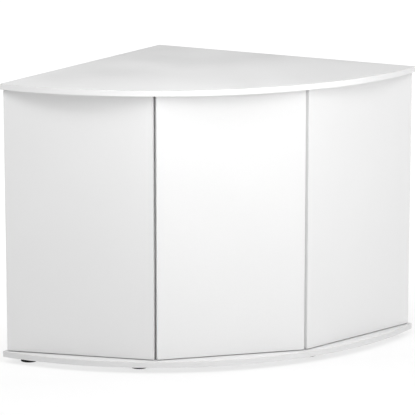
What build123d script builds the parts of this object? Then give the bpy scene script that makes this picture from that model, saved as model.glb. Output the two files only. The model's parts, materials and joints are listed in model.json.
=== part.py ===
"""Corner aquarium cabinet: a quarter-round top and base board with three flat doors between them.

The frame stands on the floor at z = 0, under the middle of the cabinet's box. +X is to the right,
-Y is to the front and +Z is up. The rear corner of the room is on +Y.
"""

import os
from math import cos, radians, sin, sqrt

from build123d import *

os.makedirs("parts", exist_ok=True)

# Overall form
WALL_LENGTH = 870.0  # straight rear edge, from the rear corner to a tip
FRONT_RADIUS = 863.0
HEIGHT = 804.0
BOARD = 16.0
FOOT_HEIGHT = 18.0
EDGE_BAND = 1.0

# Doors
DOOR_WIDTH = 431.0
DOOR_REVEAL = 5.0  # from a door's end to the corner where two door planes meet
SIDE_TURN = 28.8  # angle between the middle door and a side door, in degrees
FRONT_OVERHANG = 45.3  # from the middle door's face to the round front
GAP_BELOW = 2.5
GAP_ABOVE = 3.0

# Door pivots
PIVOT_INSET = 8.0  # from the hinged end of the door to the pin's centre
PIN_RADIUS = 3.0
PIN_DEPTH = 30.0  # into the door
PIN_REACH = 10.0  # into the board
PIN_COLLAR_RADIUS = 5.0
PIN_COLLAR = 1.2
RUNNING_FIT = 0.05
BUSH_RADIUS = 5.0
BUSH_DEPTH = 11.0
BUSH_FLANGE_RADIUS = 7.0
BUSH_FLANGE = 1.0

# Push latches
LATCH_INSET = 95.0  # from the free end of the door to the latch's middle
LATCH_WIDTH = 20.0
LATCH_HEIGHT = 16.0
LATCH_LENGTH = 60.0
LATCH_START = 24.0  # from the door's outer face
LATCH_BORE = 46.0
LATCH_ROUND = 3.0
LATCH_PLATE = 2.5
LATCH_PLATE_WIDTH = 40.0
LATCH_PLATE_LENGTH = 30.0
LATCH_SCREW_RADIUS = 1.5
LATCH_SCREW_LENGTH = 12.0
LATCH_SCREW_HEAD_RADIUS = 3.0
LATCH_SCREW_HEAD = 2.0
LATCH_SCREW_SPACING = 30.0
PLUNGER_RADIUS = 4.0
PLUNGER_FIT = 0.1
PLUNGER_LENGTH = 38.0
STRIKE_RADIUS = 7.0
STRIKE = 2.0
STRIKE_CLEARANCE = 0.4

# Upright boards
UPRIGHT_CLEARANCE = 5.5  # from the middle door's inner face to the partitions
REAR_INSET = 10.0  # from the cabinet's rear edge to the rear boards
REAR_START = 110.0  # along the wall from the rear corner: the hose gap lies between the two boards
REAR_END = 836.0

# Fittings in the uprights
DOWEL_RADIUS = 4.0
DOWEL_HALF = 15.0
DOWEL_SEAT = 10.0  # into the top or the base board
CAM_RADIUS = 7.5
CAM_DEPTH = 12.5
CAM_DROP = 24.0
CAM_SLOT = 1.5
BOLT_RADIUS = 3.5
BOLT_SEAT = 11.0
BOLT_NECK = 3.0  # thin end that the cam grips
BOLT_NECK_RADIUS = 2.5
SCREW_RADIUS = 3.2
SCREW_HEAD_RADIUS = 5.0
SCREW_LENGTH = 50.0
SCREW_HEAD = 3.5

# Levelling feet
PAD_RADIUS = 24.0
PAD_THICK = 7.5
PAD_ROUND = 2.0
PAD_COLLAR_RADIUS = 10.0
PAD_COLLAR_TOP = 11.0
PAD_FLOOR = 6.0  # thickness left under the stem
STEM_RADIUS = 5.0
STEM_FIT = 0.1
STEM_END_GAP = 0.3
STEM_HEX = 5.0
STEM_HEX_DEPTH = 6.0
SLEEVE_RADIUS = 7.0
SLEEVE_FLANGE_RADIUS = 13.0
SLEEVE_FLANGE = 2.0

# Derived places
TIP_X = WALL_LENGTH * sqrt(0.5)
DEPTH = TIP_X - sqrt(FRONT_RADIUS**2 - TIP_X**2) + FRONT_RADIUS
REAR_Y = DEPTH / 2
ARC_Y = FRONT_RADIUS - DEPTH / 2
BASE_TOP = FOOT_HEIGHT + BOARD
TOP_UNDER = HEIGHT - BOARD
DOOR_BOTTOM = BASE_TOP + GAP_BELOW
DOOR_TOP = TOP_UNDER - GAP_ABOVE
DOOR_HEIGHT = DOOR_TOP - DOOR_BOTTOM
DOOR_FACE_Y = FRONT_OVERHANG - DEPTH / 2
CORNER_X = DOOR_WIDTH / 2 + DOOR_REVEAL
PARTITION_X = CORNER_X - BOARD / 2
PARTITION_FRONT = DOOR_FACE_Y + BOARD + UPRIGHT_CLEARANCE
UPRIGHT_HEIGHT = TOP_UNDER - BASE_TOP
SIDE_COS = cos(radians(SIDE_TURN))
SIDE_SIN = sin(radians(SIDE_TURN))


def save(piece, label):
    """Label one finished piece and write its file."""
    piece.part.label = label
    export_step(piece.part, f"parts/{label}.step")


def wall_point(along, inward, side=-1):
    """Plan point beside a rear edge: along it from the rear corner, and inward from it."""
    x = side * (along - inward) * sqrt(0.5)
    y = REAR_Y - (along + inward) * sqrt(0.5)
    return x, y


def mirrored(left):
    """The right-hand twin of a left-hand piece."""
    with BuildPart() as right:
        mirror(left.part, about=Plane.YZ)
    return right


def both_sides(points):
    """Plan points on the left, followed by their twins on the right."""
    return points + [(-x, y) for x, y in points]


def rods(points, level, radius, length, mode=Mode.ADD):
    """Adds upright rods at plan points to the part being built, or bores them out of it.

    They run up from the level, or down from it where the length is negative.
    """
    with BuildSketch(Plane.XY.offset(level)) as ends:
        with Locations(*points):
            Circle(radius)
    extrude(ends.sketch, amount=length, mode=mode)


def bore(points, level, radius, depth):
    """Bores upright holes at plan points, up from the level or down for a negative depth."""
    rods(points, level, radius, depth, mode=Mode.SUBTRACT)


# --- Top and base boards with their round front edging ---


def quarter_round(radius, mode=Mode.ADD):
    """Outline of a board, with an arc of this radius for its front."""
    offset_y = REAR_Y - ARC_Y
    tip = (offset_y + sqrt(2 * radius**2 - offset_y**2)) / 2
    with BuildLine() as outline:
        Polyline((-tip, REAR_Y - tip), (0, REAR_Y), (tip, REAR_Y - tip))
        ThreePointArc((tip, REAR_Y - tip), (0, ARC_Y - radius), (-tip, REAR_Y - tip))
    make_face(outline.edges(), mode=mode)


# One plane per door: origin at the left end of the outer face, x to the right, y into the cabinet.
DOORS = {
    "left": Plane(
        origin=(
            -CORNER_X - (DOOR_REVEAL + DOOR_WIDTH) * SIDE_COS,
            DOOR_FACE_Y + (DOOR_REVEAL + DOOR_WIDTH) * SIDE_SIN,
            DOOR_BOTTOM,
        ),
        x_dir=(SIDE_COS, -SIDE_SIN, 0),
        z_dir=(0, 0, 1),
    ),
    "middle": Plane(
        origin=(DOOR_REVEAL - CORNER_X, DOOR_FACE_Y, DOOR_BOTTOM),
        x_dir=(1, 0, 0),
        z_dir=(0, 0, 1),
    ),
    "right": Plane(
        origin=(
            CORNER_X + DOOR_REVEAL * SIDE_COS,
            DOOR_FACE_Y + DOOR_REVEAL * SIDE_SIN,
            DOOR_BOTTOM,
        ),
        x_dir=(SIDE_COS, SIDE_SIN, 0),
        z_dir=(0, 0, 1),
    ),
}
PIVOT_X = {"left": PIVOT_INSET, "middle": PIVOT_INSET, "right": DOOR_WIDTH - PIVOT_INSET}
LATCH_X = {"left": DOOR_WIDTH - LATCH_INSET, "middle": DOOR_WIDTH - LATCH_INSET, "right": LATCH_INSET}


def door_point(name, x, y):
    """Plan point of a door's own x and y."""
    place = DOORS[name].from_local_coords(Vector(x, y, 0))
    return place.X, place.Y


PIVOT_POINTS = [door_point(name, PIVOT_X[name], BOARD / 2) for name in DOORS]

LATCH_SCREWS = [
    door_point(name, LATCH_X[name] + across, LATCH_START + LATCH_LENGTH / 2)
    for name in DOORS
    for across in (-LATCH_SCREW_SPACING / 2, LATCH_SCREW_SPACING / 2)
]

# Levelling feet, in plan: two along each half of the front, one behind each and one in the corner
FEET = {
    "front_left": (-250.5, -320.5),
    "front_right": (250.5, -320.5),
    "tip_left": (-538.0, -171.5),
    "tip_right": (538.0, -171.5),
    "rear_left": (-240.0, 111.0),
    "rear_right": (240.0, 111.0),
    "rear_corner": (0.0, 336.0),
}

# Fittings of the left uprights, in plan, each with the direction that its cam faces
PARTITION_REAR = REAR_Y - PARTITION_X - (REAR_INSET + BOARD) * sqrt(2)
PARTITION_DOWELS = [(-PARTITION_X, PARTITION_FRONT + 40), (-PARTITION_X, PARTITION_REAR - 40)]
PARTITION_CAMS = [(-PARTITION_X, PARTITION_FRONT + 90), (-PARTITION_X, PARTITION_REAR - 90)]
REAR_MIDDLE = REAR_INSET + BOARD / 2
REAR_DOWELS = [wall_point(REAR_START + 30, REAR_MIDDLE), wall_point(REAR_END - 60, REAR_MIDDLE)]
REAR_CAMS = [wall_point(REAR_START + 90, REAR_MIDDLE), wall_point(REAR_END - 110, REAR_MIDDLE)]
DOWELS = both_sides(PARTITION_DOWELS + REAR_DOWELS)
CAMS = both_sides(PARTITION_CAMS + REAR_CAMS)

with BuildPart() as top_panel:
    with BuildSketch(Plane.XY.offset(TOP_UNDER)):
        quarter_round(FRONT_RADIUS - EDGE_BAND)
    extrude(amount=BOARD)
    bore(PIVOT_POINTS, TOP_UNDER, BUSH_RADIUS, BUSH_DEPTH)
    bore(DOWELS, TOP_UNDER, DOWEL_RADIUS, DOWEL_SEAT)
    bore(CAMS, TOP_UNDER, BOLT_RADIUS, BOLT_SEAT)
    bore(LATCH_SCREWS, TOP_UNDER, LATCH_SCREW_RADIUS, LATCH_SCREW_LENGTH)
save(top_panel, "top_panel")

with BuildPart() as base_panel:
    with BuildSketch(Plane.XY.offset(FOOT_HEIGHT)):
        quarter_round(FRONT_RADIUS - EDGE_BAND)
    extrude(amount=BOARD)
    bore(PIVOT_POINTS, BASE_TOP, BUSH_RADIUS, -BUSH_DEPTH)
    bore(DOWELS, BASE_TOP, DOWEL_RADIUS, -DOWEL_SEAT)
    bore(CAMS, FOOT_HEIGHT, SCREW_RADIUS, BOARD)
    bore(CAMS, FOOT_HEIGHT, SCREW_HEAD_RADIUS, SCREW_HEAD)
    bore(FEET.values(), FOOT_HEIGHT, SLEEVE_RADIUS, BOARD)
save(base_panel, "base_panel")

for label, underside in (("top_edging", TOP_UNDER), ("base_edging", FOOT_HEIGHT)):
    with BuildPart() as edging:
        with BuildSketch(Plane.XY.offset(underside)):
            quarter_round(FRONT_RADIUS)
            quarter_round(FRONT_RADIUS - EDGE_BAND, mode=Mode.SUBTRACT)
        extrude(amount=BOARD)
    save(edging, label)


# --- Upright boards: two partitions behind the door joints, two rear boards along the walls ---

# Each cam's direction points from the upright's middle into the compartment that it is turned from.
CAM_SITES = [(point, (1, 0, 0)) for point in PARTITION_CAMS] + [(point, (1, -1, 0)) for point in REAR_CAMS]


def cam_plane(point, direction):
    """The upright's face at a cam, looking out of it."""
    outward = Vector(*direction).normalized()
    centre = Vector(*point, TOP_UNDER - CAM_DROP)
    return Plane(origin=centre + outward * (BOARD / 2), z_dir=outward)


def upright(outline_points, dowels, cam_sites):
    """A vertical board with its dowel, bolt and screw bores and its cam pockets."""
    with BuildPart() as board:
        with BuildSketch(Plane.XY.offset(BASE_TOP)):
            with BuildLine():
                Polyline(*outline_points, close=True)
            make_face()
        extrude(amount=UPRIGHT_HEIGHT)
        bore(dowels, TOP_UNDER, DOWEL_RADIUS, DOWEL_SEAT - 2 * DOWEL_HALF)
        bore(dowels, BASE_TOP, DOWEL_RADIUS, 2 * DOWEL_HALF - DOWEL_SEAT)
        for point, direction in cam_sites:
            bore([point], TOP_UNDER, BOLT_RADIUS, -CAM_DROP)
            bore([point], BASE_TOP, SCREW_RADIUS, SCREW_LENGTH - BOARD)
            with BuildSketch(cam_plane(point, direction)):
                Circle(CAM_RADIUS)
            extrude(amount=-CAM_DEPTH, mode=Mode.SUBTRACT)
    return board


PARTITION_OUTLINE = [
    (-CORNER_X, PARTITION_FRONT),
    (BOARD - CORNER_X, PARTITION_FRONT),
    (BOARD - CORNER_X, REAR_Y - (CORNER_X - BOARD) - (REAR_INSET + BOARD) * sqrt(2)),
    (-CORNER_X, REAR_Y - CORNER_X - (REAR_INSET + BOARD) * sqrt(2)),
]
REAR_OUTLINE = [
    wall_point(REAR_START, REAR_INSET),
    wall_point(REAR_END, REAR_INSET),
    wall_point(REAR_END, REAR_INSET + BOARD),
    wall_point(REAR_START, REAR_INSET + BOARD),
]
partition_left = upright(PARTITION_OUTLINE, PARTITION_DOWELS, CAM_SITES[:2])
save(partition_left, "partition_left")
save(mirrored(partition_left), "partition_right")
rear_board_left = upright(REAR_OUTLINE, REAR_DOWELS, CAM_SITES[2:])
save(rear_board_left, "rear_board_left")
save(mirrored(rear_board_left), "rear_board_right")

# --- Fittings of the uprights ---

with BuildPart() as wooden_dowels:
    rods(DOWELS, TOP_UNDER + DOWEL_SEAT, DOWEL_RADIUS, -2 * DOWEL_HALF)
    rods(DOWELS, BASE_TOP - DOWEL_SEAT, DOWEL_RADIUS, 2 * DOWEL_HALF)
save(wooden_dowels, "wooden_dowels")

with BuildPart() as cam_bolts:
    rods(CAMS, TOP_UNDER + BOLT_SEAT, BOLT_RADIUS, BOLT_NECK - BOLT_SEAT - CAM_DROP + CAM_RADIUS)
    rods(CAMS, TOP_UNDER - CAM_DROP + CAM_RADIUS, BOLT_NECK_RADIUS, BOLT_NECK)
save(cam_bolts, "cam_bolts")

with BuildPart() as cams_left:
    for point, direction in CAM_SITES:
        face = cam_plane(point, direction)
        with BuildSketch(face):
            Circle(CAM_RADIUS)
        extrude(amount=-CAM_DEPTH)
        with BuildSketch(face):
            Rectangle(CAM_RADIUS * 1.3, CAM_SLOT)
            Rectangle(CAM_SLOT, CAM_RADIUS * 1.3)
        extrude(amount=-CAM_SLOT, mode=Mode.SUBTRACT)
with BuildPart() as cam_locks:
    add(cams_left.part)
    mirror(cams_left.part, about=Plane.YZ)
save(cam_locks, "cam_locks")

with BuildPart() as base_screws:
    with BuildSketch(Plane.XY.offset(FOOT_HEIGHT)):
        with Locations(*CAMS):
            Circle(SCREW_HEAD_RADIUS)
            RegularPolygon(SCREW_RADIUS * 0.7, 6, mode=Mode.SUBTRACT)
    extrude(amount=SCREW_HEAD)
    rods(CAMS, FOOT_HEIGHT + SCREW_HEAD, SCREW_RADIUS, SCREW_LENGTH - SCREW_HEAD)
save(base_screws, "base_screws")

# --- Bushes that the door pins turn in ---

with BuildPart() as pivot_bushes:
    for face, inward in ((TOP_UNDER, 1), (BASE_TOP, -1)):
        rods(PIVOT_POINTS, face, BUSH_RADIUS, inward * BUSH_DEPTH)
        rods(PIVOT_POINTS, face, BUSH_FLANGE_RADIUS, -inward * BUSH_FLANGE)
        mouth = face - inward * BUSH_FLANGE
        bore(PIVOT_POINTS, mouth, PIN_RADIUS + RUNNING_FIT, inward * (BUSH_FLANGE + PIN_REACH + RUNNING_FIT))
save(pivot_bushes, "pivot_bushes")

# --- Doors, each with its edge band, pivot pins, strike plate and latch plunger ---

for name in DOORS:
    pivot = [door_point(name, PIVOT_X[name], BOARD / 2)]
    strike_plane = Plane(
        origin=DOORS[name].from_local_coords(
            Vector(LATCH_X[name], BOARD, TOP_UNDER - LATCH_HEIGHT / 2 - DOOR_BOTTOM)
        ),
        x_dir=DOORS[name].x_dir,
        z_dir=DOORS[name].y_dir,
    )

    with BuildPart() as door:
        with BuildSketch(DOORS[name].offset(EDGE_BAND)):
            with Locations((DOOR_WIDTH / 2, BOARD / 2)):
                Rectangle(DOOR_WIDTH - 2 * EDGE_BAND, BOARD)
        extrude(amount=DOOR_HEIGHT - 2 * EDGE_BAND)
        bore(pivot, DOOR_BOTTOM, PIN_RADIUS, PIN_DEPTH)
        bore(pivot, DOOR_TOP, PIN_RADIUS, -PIN_DEPTH)
    save(door, f"{name}_door")

    with BuildPart() as edging:
        with BuildSketch(DOORS[name]):
            with Locations((DOOR_WIDTH / 2, BOARD / 2)):
                Rectangle(DOOR_WIDTH, BOARD)
        extrude(amount=DOOR_HEIGHT)
        with BuildSketch(DOORS[name].offset(EDGE_BAND)):
            with Locations((DOOR_WIDTH / 2, BOARD / 2)):
                Rectangle(DOOR_WIDTH - 2 * EDGE_BAND, BOARD)
        extrude(amount=DOOR_HEIGHT - 2 * EDGE_BAND, mode=Mode.SUBTRACT)
        bore(pivot, DOOR_BOTTOM, PIN_RADIUS, DOOR_HEIGHT)
    save(edging, f"{name}_door_edging")

    with BuildPart() as pins:
        rods(pivot, DOOR_BOTTOM + PIN_DEPTH, PIN_RADIUS, -(PIN_DEPTH + GAP_BELOW + PIN_REACH))
        rods(pivot, DOOR_BOTTOM, PIN_COLLAR_RADIUS, -PIN_COLLAR)
        rods(pivot, DOOR_TOP - PIN_DEPTH, PIN_RADIUS, PIN_DEPTH + GAP_ABOVE + PIN_REACH)
        rods(pivot, DOOR_TOP, PIN_COLLAR_RADIUS, PIN_COLLAR)
    save(pins, f"{name}_door_pivots")

    with BuildPart() as strike:
        with BuildSketch(strike_plane):
            Circle(STRIKE_RADIUS)
        extrude(amount=STRIKE)
        fillet(strike.edges().filter_by(GeomType.CIRCLE).group_by(Axis(strike_plane.location))[-1], 0.8)
    save(strike, f"{name}_door_strike")

    with BuildPart() as plunger:
        with BuildSketch(strike_plane.offset(STRIKE + STRIKE_CLEARANCE)):
            Circle(PLUNGER_RADIUS)
        extrude(amount=PLUNGER_LENGTH)
    save(plunger, f"{name}_latch_plunger")

# --- Push-latch housings under the top board ---

with BuildPart() as latch_housings:
    for name in DOORS:
        middle = (LATCH_X[name], LATCH_START + LATCH_LENGTH / 2)
        front = Plane(
            origin=DOORS[name].from_local_coords(
                Vector(LATCH_X[name], LATCH_START, TOP_UNDER - LATCH_HEIGHT / 2 - DOOR_BOTTOM)
            ),
            x_dir=DOORS[name].x_dir,
            z_dir=DOORS[name].y_dir,
        )
        with BuildSketch(front):
            RectangleRounded(LATCH_WIDTH, LATCH_HEIGHT, LATCH_ROUND)
        extrude(amount=LATCH_LENGTH)
        with BuildSketch(DOORS[name].offset(TOP_UNDER - DOOR_BOTTOM)):
            with Locations(middle):
                RectangleRounded(LATCH_PLATE_WIDTH, LATCH_PLATE_LENGTH, LATCH_ROUND)
            for across in (-LATCH_SCREW_SPACING / 2, LATCH_SCREW_SPACING / 2):
                with Locations((middle[0] + across, middle[1])):
                    Circle(LATCH_SCREW_RADIUS, mode=Mode.SUBTRACT)
        extrude(amount=-LATCH_PLATE)
        with BuildSketch(front):
            Circle(PLUNGER_RADIUS + PLUNGER_FIT)
        extrude(amount=LATCH_BORE, mode=Mode.SUBTRACT)
save(latch_housings, "latch_housings")

with BuildPart() as latch_screws:
    rods(LATCH_SCREWS, TOP_UNDER + LATCH_SCREW_LENGTH, LATCH_SCREW_RADIUS, -LATCH_SCREW_LENGTH - LATCH_PLATE)
    rods(LATCH_SCREWS, TOP_UNDER - LATCH_PLATE, LATCH_SCREW_HEAD_RADIUS, -LATCH_SCREW_HEAD)
    with BuildSketch(Plane.XY.offset(TOP_UNDER - LATCH_PLATE - LATCH_SCREW_HEAD)):
        with Locations(*LATCH_SCREWS):
            RegularPolygon(LATCH_SCREW_RADIUS, 6)
    extrude(amount=LATCH_SCREW_HEAD / 2, mode=Mode.SUBTRACT)
save(latch_screws, "latch_screws")

# --- Levelling feet: a sleeve in the base board, a stem that screws in it and a pad ---

with BuildPart() as foot_sleeves:
    sleeve_foot = FOOT_HEIGHT - SLEEVE_FLANGE
    rods(FEET.values(), sleeve_foot, SLEEVE_FLANGE_RADIUS, SLEEVE_FLANGE)
    rods(FEET.values(), FOOT_HEIGHT, SLEEVE_RADIUS, BOARD)
    bore(FEET.values(), sleeve_foot, STEM_RADIUS + STEM_FIT, SLEEVE_FLANGE + BOARD)
save(foot_sleeves, "foot_sleeves")

for name, place in FEET.items():
    with BuildPart() as pad:
        rods([place], 0, PAD_RADIUS, PAD_THICK)
        fillet(pad.edges().group_by(Axis.Z)[-1], PAD_ROUND)
        rods([place], PAD_THICK, PAD_COLLAR_RADIUS, PAD_COLLAR_TOP - PAD_THICK)
        bore([place], PAD_FLOOR, STEM_RADIUS + STEM_FIT, PAD_COLLAR_TOP - PAD_FLOOR)
    save(pad, f"{name}_foot_pad")

    with BuildPart() as stem:
        rods([place], PAD_FLOOR + STEM_END_GAP, STEM_RADIUS, BASE_TOP - PAD_FLOOR - 2 * STEM_END_GAP)
        with BuildSketch(Plane.XY.offset(BASE_TOP - STEM_END_GAP)):
            with Locations(place):
                RegularPolygon(STEM_HEX / 2, 6, major_radius=False)
        extrude(amount=-STEM_HEX_DEPTH, mode=Mode.SUBTRACT)
    save(stem, f"{name}_foot_stem")
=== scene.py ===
"""Looks of the corner aquarium cabinet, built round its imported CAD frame. Metres, +Z up, front to -Y."""

import json
import math

import bmesh
import bpy
from mathutils import Matrix, Vector


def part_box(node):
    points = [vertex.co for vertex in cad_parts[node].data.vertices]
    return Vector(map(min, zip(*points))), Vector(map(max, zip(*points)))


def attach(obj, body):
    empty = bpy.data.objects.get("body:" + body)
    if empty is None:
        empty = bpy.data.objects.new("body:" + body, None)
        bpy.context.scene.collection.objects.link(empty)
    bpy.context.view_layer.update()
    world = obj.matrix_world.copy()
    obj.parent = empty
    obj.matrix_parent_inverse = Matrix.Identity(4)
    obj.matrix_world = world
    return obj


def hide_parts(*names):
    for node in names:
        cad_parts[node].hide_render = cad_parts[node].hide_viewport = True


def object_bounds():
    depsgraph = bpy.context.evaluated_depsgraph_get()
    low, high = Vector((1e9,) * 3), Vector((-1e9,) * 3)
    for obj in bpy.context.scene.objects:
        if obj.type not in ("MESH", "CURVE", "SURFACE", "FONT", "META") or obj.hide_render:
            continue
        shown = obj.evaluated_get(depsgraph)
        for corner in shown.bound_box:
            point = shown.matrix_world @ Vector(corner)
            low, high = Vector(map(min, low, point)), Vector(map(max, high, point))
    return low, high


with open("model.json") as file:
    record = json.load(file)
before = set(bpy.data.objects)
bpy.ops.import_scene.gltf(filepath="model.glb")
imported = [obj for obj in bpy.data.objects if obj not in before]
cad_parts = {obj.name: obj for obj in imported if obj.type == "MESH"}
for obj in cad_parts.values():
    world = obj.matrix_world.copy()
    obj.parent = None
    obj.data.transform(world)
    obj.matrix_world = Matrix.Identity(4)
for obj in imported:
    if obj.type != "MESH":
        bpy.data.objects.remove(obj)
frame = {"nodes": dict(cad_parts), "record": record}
CAD_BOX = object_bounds()
MM = 0.001
WHITE = (1, 1, 1, 1)
CENTRE = (CAD_BOX[0] + CAD_BOX[1]) / 2
FLOOR_Z = CAD_BOX[0].z


# --- Node helpers ---

RANGE_INPUTS = ("From Min", "From Max", "To Min", "To Max")
MIX_COLOUR_IN = slice(6, 8)  # the mix node's own places for its two colours
MIX_COLOUR_OUT = 2


class Shader:
    """A material's node tree with short calls for the nodes that the materials below share."""

    def __init__(self, name, **sockets):
        self.material = bpy.data.materials.new(name)
        self.material.use_nodes = True
        self.tree = self.material.node_tree
        self.bsdf = self.tree.nodes["Principled BSDF"]
        for socket, value in sockets.items():
            self.bsdf.inputs[socket.replace("_", " ")].default_value = value
        self.place = self.node("ShaderNodeTexCoord").outputs["Object"]

    def node(self, kind, **settings):
        made = self.tree.nodes.new(kind)
        for key, value in settings.items():
            setattr(made, key, value)
        return made

    def link(self, source, target):
        self.tree.links.new(source, target)

    def noise(self, scale, detail=3.0, rough=0.5, stretch=(1, 1, 1), seed=0.0):
        """Noise at scale features per metre, stretched by a factor along each axis."""
        mapping = self.node("ShaderNodeMapping")
        mapping.inputs["Scale"].default_value = stretch
        mapping.inputs["Location"].default_value = (seed, seed * 0.7, seed * 1.3)
        self.link(self.place, mapping.inputs["Vector"])
        made = self.node("ShaderNodeTexNoise")
        made.inputs["Scale"].default_value = scale
        made.inputs["Detail"].default_value = detail
        made.inputs["Roughness"].default_value = rough
        self.link(mapping.outputs["Vector"], made.inputs["Vector"])
        return made.outputs["Fac"]

    def ramp(self, value, low, high, out_low=0.0, out_high=1.0):
        """value from low..high to out_low..out_high, held at both ends."""
        made = self.node("ShaderNodeMapRange", clamp=True)
        for key, number in zip(RANGE_INPUTS, (low, high, out_low, out_high)):
            made.inputs[key].default_value = number
        self.link(value, made.inputs["Value"])
        return made.outputs["Result"]

    def math(self, operation, a, b=0.0):
        made = self.node("ShaderNodeMath", operation=operation)
        for socket, value in zip(made.inputs, (a, b)):
            if isinstance(value, (int, float)):
                socket.default_value = value
            else:
                self.link(value, socket)
        return made.outputs["Value"]

    def mix(self, factor, a, b):
        """Colour a to colour b by factor; a and b are colours or sockets."""
        made = self.node("ShaderNodeMix", data_type="RGBA")
        self.link(factor, made.inputs["Factor"])
        for socket, value in zip(made.inputs[MIX_COLOUR_IN], (a, b)):
            if isinstance(value, tuple):
                socket.default_value = (*value, 1.0)
            else:
                self.link(value, socket)
        return made.outputs[MIX_COLOUR_OUT]

    def edges(self, radius):
        """0 on flat faces, rising to 1 along edges and corners, within a radius in metres."""
        bevel = self.node("ShaderNodeBevel", samples=4)
        bevel.inputs["Radius"].default_value = radius
        normal = self.node("ShaderNodeNewGeometry").outputs["Normal"]
        dot = self.node("ShaderNodeVectorMath", operation="DOT_PRODUCT")
        self.link(bevel.outputs["Normal"], dot.inputs[0])
        self.link(normal, dot.inputs[1])
        return self.ramp(dot.outputs["Value"], 0.995, 0.80)

    def facing(self, direction):
        """How far the unbumped surface looks along a direction, from -1 to 1."""
        dot = self.node("ShaderNodeVectorMath", operation="DOT_PRODUCT")
        self.link(self.node("ShaderNodeNewGeometry").outputs["True Normal"], dot.inputs[0])
        dot.inputs[1].default_value = direction
        return dot.outputs["Value"]

    def bump(self, height, strength, distance):
        """A bump from a height, on the shader's normal; a second call adds to the first."""
        made = self.node("ShaderNodeBump")
        made.inputs["Strength"].default_value = strength
        made.inputs["Distance"].default_value = distance
        self.link(height, made.inputs["Height"])
        before = self.bsdf.inputs["Normal"].links
        if before:
            self.link(before[0].from_socket, made.inputs["Normal"])
        self.link(made.outputs["Normal"], self.bsdf.inputs["Normal"])

    def set(self, socket, value):
        self.link(value, self.bsdf.inputs[socket])


def grey(value):
    return (value, value, value)


# --- Materials ---

BOARD_WHITE = 0.77
BASE_PAINTED_SHADE_WHITE = 0.70  # painted shade: the base board and its edging are a little darker than the rest, standing in for the shade on the base under the doors


def chipboard(s):
    """Colour and height of a sawn chipboard edge: pale and brown chips in layers along the board."""
    chips = s.noise(420.0, 4.0, 0.7, stretch=(1, 1, 2.2), seed=1.1)
    fine = s.noise(1500.0, 3.0, 0.6, seed=6.6)
    dark = s.ramp(s.noise(260.0, 3.0, 0.6, stretch=(1, 1, 2.6), seed=9.4), 0.54, 0.66)
    pale = s.mix(s.ramp(chips, 0.36, 0.62), (0.40, 0.27, 0.15), (0.72, 0.55, 0.36))
    return s.mix(s.math("MULTIPLY", dark, 0.6), pale, (0.24, 0.15, 0.08)), s.math("ADD", chips, fine)


def melamine(name, flat=None, keep=None, white=BOARD_WHITE):
    """White melamine paper on chipboard: a fine pearl texture, faint mottling and rubbed edges.

    flat is the direction that the board's two papered faces look along, and the other faces are
    raw chipboard, apart from those that look along keep.
    """
    s = Shader(name, Specular_IOR_Level=0.42)
    cloud = s.ramp(s.noise(2.2, 2.0, seed=3.1), 0.35, 0.65)
    fleck = s.ramp(s.noise(620.0, 2.0, 0.6), 0.38, 0.62)
    worn = s.math("MULTIPLY", s.edges(0.9 * MM), s.ramp(s.noise(38.0, 4.0, 0.62, seed=1.7), 0.44, 0.70))
    base = s.mix(cloud, grey(white * 0.982), grey(white * 1.008))
    speckled = s.mix(s.math("MULTIPLY", fleck, 0.35), base, grey(white * 0.955))
    colour = s.mix(s.math("MULTIPLY", worn, 0.55), speckled, (0.66, 0.63, 0.58))
    rough = s.ramp(s.noise(5.0, 3.0, 0.55, seed=8.0), 0.3, 0.7, 0.36, 0.48)
    rough = s.math("ADD", rough, s.math("MULTIPLY", fleck, 0.07))
    rough = s.math("ADD", rough, s.math("MULTIPLY", worn, 0.2))
    s.bump(s.noise(750.0, 3.0, 0.55), 0.14, 0.08 * MM)
    s.bump(s.noise(14.0, 2.0, 0.5, seed=5.0), 0.05, 0.6 * MM)
    if flat is not None:
        raw = s.ramp(s.math("ABSOLUTE", s.facing(flat)), 0.6, 0.4)
        if keep is not None:
            raw = s.math("MULTIPLY", raw, s.ramp(s.facing(keep), 0.6, 0.4))
        chips, height = chipboard(s)
        colour = s.mix(raw, colour, chips)
        rough = s.math("MAXIMUM", rough, s.math("MULTIPLY", raw, 0.82))
        s.bump(s.math("MULTIPLY", height, raw), 0.5, 0.25 * MM)
    s.set("Base Color", colour)
    s.set("Roughness", rough)
    return s.material


def edge_band(name, white=BOARD_WHITE):
    """White ABS strip: a little smoother than the faces, with fine lines along its length."""
    s = Shader(name, Specular_IOR_Level=0.45)
    drawn = s.noise(260.0, 2.0, 0.5, stretch=(0.2, 0.2, 6.0))
    worn = s.math("MULTIPLY", s.edges(0.7 * MM), s.ramp(s.noise(30.0, 4.0, 0.6, seed=6.3), 0.42, 0.68))
    base = s.mix(s.ramp(drawn, 0.35, 0.65), grey(white * 0.985), grey(white * 1.01))
    s.set("Base Color", s.mix(s.math("MULTIPLY", worn, 0.5), base, grey(0.62)))
    s.set("Roughness", s.ramp(s.noise(60.0, 3.0, 0.5), 0.3, 0.7, 0.32, 0.46))
    s.bump(drawn, 0.10, 0.05 * MM)
    s.bump(s.noise(700.0, 2.0), 0.08, 0.05 * MM)
    return s.material


def plastic(name, colour, roughness, gloss=0.45, dust_amount=0.09):
    """Moulded plastic: spark-eroded grain, polished high spots along the edges, a little dust."""
    s = Shader(name, Specular_IOR_Level=gloss)
    rubbed = s.edges(0.6 * MM)
    dust = s.ramp(s.noise(70.0, 4.0, 0.65, seed=2.0), 0.52, 0.78)
    lighter = tuple(min(c * 1.35 + 0.02, 0.9) for c in colour)
    dusty = tuple(c * 0.8 + dust_amount for c in colour)
    base = s.mix(s.math("MULTIPLY", dust, 0.35), colour, dusty)
    s.set("Base Color", s.mix(s.math("MULTIPLY", rubbed, 0.6), base, lighter))
    rough = s.ramp(dust, 0, 1, roughness, roughness + 0.18)
    s.set("Roughness", s.math("SUBTRACT", rough, s.math("MULTIPLY", rubbed, 0.12)))
    s.bump(s.noise(900.0, 2.0), 0.25, 0.06 * MM)
    return s.material


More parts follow.
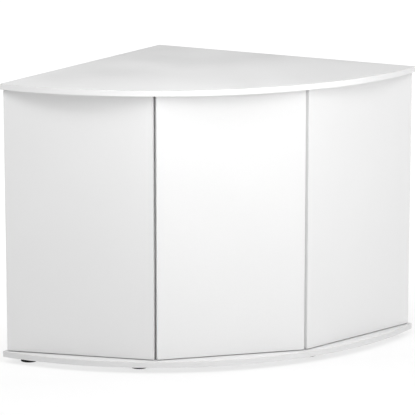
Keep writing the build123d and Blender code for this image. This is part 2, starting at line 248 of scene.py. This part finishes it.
def metal(name, colour, roughness, stretch, scratch=1400.0):
    """Plated metal: lines left by turning or stamping, cloudy plating and bright worn edges."""
    s = Shader(name, Metallic=1.0)
    lines = s.noise(scratch, 2.0, 0.6, stretch=stretch)
    cloud = s.ramp(s.noise(120.0, 3.0, 0.6, seed=4.0), 0.35, 0.7)
    dull = tuple(c * 0.78 for c in colour)
    bright = tuple(min(c * 1.2, 0.95) for c in colour)
    base = s.mix(cloud, colour, dull)
    s.set("Base Color", s.mix(s.math("MULTIPLY", s.edges(0.4 * MM), 0.7), base, bright))
    rough = s.ramp(lines, 0.3, 0.7, roughness, roughness + 0.14)
    s.set("Roughness", s.math("ADD", rough, s.math("MULTIPLY", cloud, 0.08)))
    s.bump(lines, 0.12, 0.02 * MM)
    return s.material


def beech():
    """Beech dowel: long pale grain with short darker flecks."""
    s = Shader("beech")
    grain = s.noise(300.0, 4.0, 0.6, stretch=(1, 1, 0.08))
    fleck = s.ramp(s.noise(900.0, 2.0, stretch=(1, 1, 0.25), seed=2.0), 0.6, 0.72)
    base = s.mix(s.ramp(grain, 0.3, 0.7), (0.66, 0.45, 0.27), (0.79, 0.60, 0.40))
    s.set("Base Color", s.mix(s.math("MULTIPLY", fleck, 0.5), base, (0.48, 0.30, 0.17)))
    s.set("Roughness", s.ramp(grain, 0.3, 0.7, 0.5, 0.7))
    s.bump(grain, 0.3, 0.05 * MM)
    return s.material


DIAGONAL = math.sqrt(0.5)
TO_FRONT = (0, -1, 0)
TO_FRONT_LEFT = (-DIAGONAL, -DIAGONAL, 0)
TO_FRONT_RIGHT = (DIAGONAL, -DIAGONAL, 0)
MATERIALS = {
    "white_board": melamine("white_board"),
    "white_edge_band": edge_band("white_edge_band"),
    "beech": beech(),
    "zinc": metal("zinc", (0.60, 0.60, 0.61), 0.34, (1, 1, 1), 900.0),
    "bright_steel": metal("bright_steel", (0.64, 0.64, 0.63), 0.22, (0.15, 0.15, 3.0)),
    "grey_plastic": plastic("grey_plastic", (0.42, 0.42, 0.43), 0.42),
    "white_plastic": plastic("white_plastic", (0.74, 0.74, 0.73), 0.38),
    "black_plastic": plastic("black_plastic", (0.006, 0.006, 0.0065), 0.5, gloss=0.12, dust_amount=0.008),
}
PARTITION_BOARD = melamine("white_board_partition", flat=(1, 0, 0), keep=TO_FRONT)
OWN_MATERIAL = {
    "top_panel": melamine("white_board_top", flat=(0, 0, 1)),
    # the base board and its edging take the darker white, which is painted shade, not a duller board
    "base_panel": melamine("white_board_base_painted_shade", flat=(0, 0, 1), white=BASE_PAINTED_SHADE_WHITE),
    "base_edging": edge_band("white_edge_band_base_painted_shade", BASE_PAINTED_SHADE_WHITE),
    "partition_left": PARTITION_BOARD,
    "partition_right": PARTITION_BOARD,
    "rear_board_left": melamine("white_board_rear_left", flat=TO_FRONT_RIGHT, keep=TO_FRONT_LEFT),
    "rear_board_right": melamine("white_board_rear_right", flat=TO_FRONT_LEFT, keep=TO_FRONT_RIGHT),
}
SLOT_OF = {row["node"]: row["material_slot"] for row in frame["record"]["subparts"]}


# --- CAD nodes: materials and eased edges ---

EDGE_ROUND = {"white_board": 0.35 * MM, "white_edge_band": 0.25 * MM, "bright_steel": 0.25 * MM}
OTHER_ROUND = 0.3 * MM
WELD_DISTANCE = 0.002 * MM
EASED_FROM = math.radians(40)


def finish_node(node, obj):
    """Gives a CAD node its material, a small round on its edges and smooth curved faces."""
    slot = SLOT_OF[node]
    obj.data.materials.clear()
    obj.data.materials.append(OWN_MATERIAL.get(node, MATERIALS[slot]))
    weld = obj.modifiers.new("weld", "WELD")
    weld.merge_threshold = WELD_DISTANCE
    ease = obj.modifiers.new("ease", "BEVEL")
    ease.width = EDGE_ROUND.get(slot, OTHER_ROUND)
    ease.segments = 2
    ease.limit_method = "ANGLE"
    ease.angle_limit = EASED_FROM
    normals = obj.modifiers.new("normals", "WEIGHTED_NORMAL")
    normals.keep_sharp = True


for node, obj in frame["nodes"].items():
    finish_node(node, obj)


# --- Turned and threaded pieces ---

FEET = ["front_left", "front_right", "tip_left", "tip_right", "rear_left", "rear_right", "rear_corner"]
DOORS = ["left", "middle", "right"]
SHARP_FROM = math.radians(32)
AXIS_OF = {row["name"]: Vector(row["axis"]) for row in frame["record"]["behaviour"]["joints"]}


def hexagon(across):
    """Radius of a hexagon at an angle, from its width across flats."""
    return lambda angle: across / 2 / math.cos((angle + math.pi / 6) % (math.pi / 3) - math.pi / 6)


def cross(reach, half):
    """Radius of a cross recess at an angle, from its arms' reach and half width."""

    def radius(angle):
        off = abs((angle + math.pi / 4) % (math.pi / 2) - math.pi / 4)
        if reach * math.tan(off) <= half:
            return reach / math.cos(off)
        return half / math.sin(off)

    return radius


def turned(rings, count=48):
    """A closed bmesh from rings of (radius, z) in mm, up its outside and back down any socket.

    A radius is a number or a function of the angle. The first and last rings are filled in.
    """
    bm = bmesh.new()
    loops = []
    for radius, z in rings:
        loop = []
        for i in range(count):
            angle = 2 * math.pi * i / count
            r = radius(angle) if callable(radius) else radius
            loop.append(bm.verts.new((r * math.cos(angle) * MM, r * math.sin(angle) * MM, z * MM)))
        loops.append(loop)
    for lower, upper in zip(loops, loops[1:]):
        for i in range(count):
            j = (i + 1) % count
            bm.faces.new((lower[i], lower[j], upper[j], upper[i]))
    bm.faces.new(reversed(loops[0]))
    bm.faces.new(loops[-1])
    return bm


def rib(bm, angle, inner, outer, half, bottom, inner_top, outer_top):
    """Adds a radial rib to a bmesh, with its top sloping from the inner to the outer end, in mm."""
    turn = Matrix.Rotation(angle, 4, "Z")
    soft = half * 0.6
    ends = []
    for r, top in ((inner, inner_top), (outer, outer_top)):
        shoulder = top - soft
        right = [(half, bottom), (half, shoulder), (soft, top)]
        outline = [(-half, bottom), *right, (-soft, top), (-half, shoulder)]
        ends.append([bm.verts.new(turn @ Vector((r, y, z)) * MM) for y, z in outline])
    near, far = ends
    for i in range(len(near)):
        j = (i + 1) % len(near)
        bm.faces.new((near[j], near[i], far[i], far[j]))
    bm.faces.new(near)
    bm.faces.new(reversed(far))


def mesh_of(bm, name):
    """Turns a bmesh into a smooth-shaded mesh with its sharp edges marked."""
    bmesh.ops.recalc_face_normals(bm, faces=bm.faces)
    mesh = bpy.data.meshes.new(name)
    bm.to_mesh(mesh)
    bm.free()
    mesh.polygons.foreach_set("use_smooth", [True] * len(mesh.polygons))
    mesh.set_sharp_from_angle(angle=SHARP_FROM)
    return mesh


def place(mesh, name, slot, body, matrix, replaced=None):
    """Puts a mesh in the scene as a piece that rides on a body, and may stand for a CAD node."""
    piece = bpy.data.objects.new(name, mesh)
    bpy.context.scene.collection.objects.link(piece)
    piece.matrix_world = matrix
    if not mesh.materials:
        mesh.materials.append(MATERIALS[slot])
    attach(piece, body)
    if replaced:
        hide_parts(replaced)


def middle_of(node):
    low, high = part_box(node)
    return (low + high) / 2


PAD_SIDES = 72
PAD_RIBS = 12
COLLAR_ACROSS = 17.0


def foot_pad_mesh():
    """A moulded disc: grip ring below, rounded rim, stiffening ribs and a hexagonal collar."""
    collar = hexagon(COLLAR_ACROSS)
    rings = [(13.5, 0.9), (14.2, 0.0), (23.4, 0.0), (23.85, 0.2), (24.0, 0.7), (24.0, 5.6), (23.85, 6.5)]
    rings += [(23.4, 7.1), (22.4, 7.5), (20.8, 7.5), (20.2, 6.9), (11.2, 6.9), (10.4, 7.3)]
    rings += [(lambda a: collar(a) + 0.1, 7.9)]
    rings += [(collar, 10.5), (lambda a: collar(a) - 0.5, 11.0), (5.8, 11.0), (5.2, 10.4), (5.1, 6.1)]
    bm = turned(rings, PAD_SIDES)
    for i in range(PAD_RIBS):
        angle = 2 * math.pi * (i + 0.5) / PAD_RIBS
        rib(bm, angle, inner=9.0, outer=21.0, half=0.8, bottom=6.5, inner_top=9.4, outer_top=7.6)
    return mesh_of(bm, "foot_pad")


STEM_RADIUS = 5.0
STEM_CHAMFER = 1.1
PITCH = 1.5
THREAD_DEPTH = 0.7
CREST_HALF = 0.0625  # of the pitch, as is the flank
FLANK = 0.3125
ROWS_PER_PITCH = 8
SOCKET_ACROSS = 5.0
SOCKET_DEPTH = 6.0
SOCKET_CHAMFER = 0.35


def threaded_stem_mesh(length):
    """A right-hand threaded rod standing on z = 0, with chamfered ends and a hexagonal socket."""

    def thread(z):
        chamfered = STEM_RADIUS - STEM_CHAMFER + min(z, length - z)

        def radius(angle):
            phase = (z / PITCH - angle / (2 * math.pi)) % 1.0
            sunk = min(max((abs(phase - 0.5) - CREST_HALF) / FLANK, 0.0), 1.0)
            return min(STEM_RADIUS - THREAD_DEPTH * sunk, chamfered)

        return radius

    rows = int(length / PITCH * ROWS_PER_PITCH)
    rings = [(thread(length * i / rows), length * i / rows) for i in range(rows + 1)]
    socket = hexagon(SOCKET_ACROSS)
    rings += [(lambda a: socket(a) + SOCKET_CHAMFER, length), (socket, length - SOCKET_CHAMFER)]
    rings += [(socket, length - SOCKET_DEPTH)]
    return mesh_of(turned(rings), "foot_stem")


pad_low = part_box("front_left_foot_pad")[0]
stem_low, stem_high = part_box("front_left_foot_stem")
pad_mesh = foot_pad_mesh()
stem_mesh = threaded_stem_mesh((stem_high.z - stem_low.z) / MM)
for foot in FEET:
    centre = middle_of(f"{foot}_foot_pad")
    at_pad = Matrix.Translation((centre.x, centre.y, pad_low.z))
    at_stem = Matrix.Translation((centre.x, centre.y, stem_low.z))
    place(pad_mesh, f"{foot}_pad_moulding", "black_plastic", f"{foot}_pad", at_pad, f"{foot}_foot_pad")
    place(stem_mesh, f"{foot}_stem_thread", "bright_steel", f"{foot}_stem", at_stem, f"{foot}_foot_stem")


# --- Strike plates with their screws, and plungers with their magnets ---

STRIKE_THICKNESS = 2.0
STRIKE_SIDES = 64
SCREW_SIDES = 96
PLUNGER_LENGTH = 38.0
recess = cross(2.2, 0.55)
strike_rings = [(6.9, 0.0), (7.0, 0.15), (7.0, 1.25), (6.75, 1.75), (6.2, STRIKE_THICKNESS)]
strike_rings += [(4.1, STRIKE_THICKNESS), (3.95, 1.9), (2.2, 0.5)]
screw_rings = [(2.0, 0.55), (3.75, 1.75), (3.6, 1.9), (lambda a: recess(a) + 0.12, 1.9), (recess, 1.75)]
screw_rings += [(lambda a: recess(a) * 0.6, 0.9)]
strike_mesh = mesh_of(turned(strike_rings, STRIKE_SIDES), "strike_plate")
screw_mesh = mesh_of(turned(screw_rings, SCREW_SIDES), "strike_screw")
plunger_rings = [(2.95, 0.3), (3.0, 0.12), (3.3, 0.0), (3.75, 0.15), (4.0, 0.7), (4.0, 2.6), (3.7, 2.8)]
plunger_rings += [(3.7, 3.4), (4.0, 3.6), (4.0, PLUNGER_LENGTH - 1.2), (3.4, PLUNGER_LENGTH)]
plunger_mesh = mesh_of(turned(plunger_rings), "latch_plunger")
magnet_mesh = mesh_of(turned([(2.9, 0.35), (2.9, 0.16), (2.7, 0.06)]), "magnet")

for door in DOORS:
    inward = -AXIS_OF[f"{door}_plunger_slide"]
    turn = inward.to_track_quat("Z", "Y").to_matrix().to_4x4()
    strike, plunger = f"{door}_door_strike", f"{door}_latch_plunger"
    strike_outer = middle_of(strike) - inward * STRIKE_THICKNESS / 2 * MM
    plunger_outer = middle_of(plunger) - inward * PLUNGER_LENGTH / 2 * MM
    at_strike = Matrix.Translation(strike_outer) @ turn
    at_plunger = Matrix.Translation(plunger_outer) @ turn
    place(strike_mesh, f"{door}_strike_plate", "bright_steel", f"{door}_door", at_strike, strike)
    place(screw_mesh, f"{door}_strike_screw", "bright_steel", f"{door}_door", at_strike)
    place(plunger_mesh, f"{door}_plunger_body", "white_plastic", f"{door}_plunger", at_plunger, plunger)
    place(magnet_mesh, f"{door}_plunger_magnet", "bright_steel", f"{door}_plunger", at_plunger)


# --- Stage: floor, sky, lights and camera ---


def aimed(obj, target):
    """Turns a light or camera so that it looks at a point."""
    obj.rotation_mode = "QUATERNION"
    obj.rotation_quaternion = (Vector(target) - obj.location).to_track_quat("-Z", "Y")


FLOOR_RADIUS = 60
FLOOR_SIDES = 96
FLOOR_GLOW = (0.63, 0.87)  # in front of the cabinet and behind it
GLOW_FADE = (-0.4, 1.0)  # from which y to which y the glow changes


def make_floor():
    """A pale, slightly mottled floor, wide enough to fill the view, that glows so as to stay white."""
    bpy.ops.mesh.primitive_circle_add(
        vertices=FLOOR_SIDES, radius=FLOOR_RADIUS, fill_type="NGON", location=(0, 0, FLOOR_Z)
    )
    floor = bpy.context.object
    floor.name = "floor"
    s = Shader("pale_floor", Roughness=0.9, Specular_IOR_Level=0.0)
    s.set("Base Color", s.mix(s.ramp(s.noise(4.0), 0.3, 0.7), grey(0.295), grey(0.305)))
    s.bsdf.inputs["Emission Color"].default_value = WHITE
    split = s.node("ShaderNodeSeparateXYZ")
    s.link(s.place, split.inputs["Vector"])
    s.set("Emission Strength", s.ramp(split.outputs["Y"], *GLOW_FADE, *FLOOR_GLOW))
    floor.data.materials.append(s.material)


def make_light(name, at, target, width, height, power):
    """A rectangular softbox that the camera doesn't see."""
    data = bpy.data.lights.new(name, "AREA")
    data.shape = "RECTANGLE"
    data.size = width
    data.size_y = height
    data.energy = power
    light = bpy.data.objects.new(name, data)
    bpy.context.scene.collection.objects.link(light)
    light.location = at
    light.visible_camera = False
    aimed(light, target)


# name, place, point looked at, width, height, power
SOFTBOXES = [
    ("left_top", (-1.3, -1.3, 3.0), (-0.3, -0.2, 0.5), 0.8, 0.8, 17.7),
    ("left_high", (-2.0, -1.6, 2.8), (0, 0, 0.5), 1.2, 1.2, 3.7),
    ("right_high", (2.0, -1.6, 2.8), (0, 0, 0.5), 1.2, 1.2, 3.9),
    ("low_right", (2.6, -2.2, 0.5), (0, 0, 0.3), 1.2, 0.8, 17.0),
    ("near_front", (0.1, -1.7, 1.35), (0, -0.3, 0.6), 0.6, 0.5, 6.35),
    ("near_up", (0.05, -1.35, 1.6), (0, -0.35, 0.7), 0.4, 0.4, 3.9),
    ("near_eye", (0, -1.6, 1.0), (0, -0.3, 0.7), 0.5, 0.4, 1.7),
]


SKY_STRENGTH = 1.16
SKY_FADE = (0.35, 0.8)  # sine of the height above the horizon where it starts and where it is full


def make_sky():
    """A soft white sky, full overhead and fading out towards the horizon."""
    world = bpy.data.worlds.new("sky")
    world.use_nodes = True
    tree = world.node_tree
    background = tree.nodes["Background"]
    background.inputs["Color"].default_value = WHITE
    split = tree.nodes.new("ShaderNodeSeparateXYZ")
    fade = tree.nodes.new("ShaderNodeMapRange")
    for key, number in zip(RANGE_INPUTS, (*SKY_FADE, 0.0, SKY_STRENGTH)):
        fade.inputs[key].default_value = number
    tree.links.new(tree.nodes.new("ShaderNodeTexCoord").outputs["Generated"], split.inputs["Vector"])
    tree.links.new(split.outputs["Z"], fade.inputs["Value"])
    tree.links.new(fade.outputs["Result"], background.inputs["Strength"])
    bpy.context.scene.world = world


LENS = 222.0
CLIP_END = 200.0
CAMERA_FROM_CENTRE = Vector((-1.883, -7.127, 1.543))
AIM_FROM_CENTRE = Vector((0.032, -0.014, -0.019))

make_floor()
make_sky()
for softbox in SOFTBOXES:
    make_light(*softbox)

bpy.context.scene.view_settings.view_transform = "Standard"

camera_data = bpy.data.cameras.new("camera")
camera_data.sensor_width = 36.0
camera_data.lens = LENS
camera_data.clip_end = CLIP_END
camera = bpy.data.objects.new("camera", camera_data)
bpy.context.scene.collection.objects.link(camera)
camera.location = CENTRE + CAMERA_FROM_CENTRE
aimed(camera, CENTRE + AIM_FROM_CENTRE)
bpy.context.scene.camera = camera
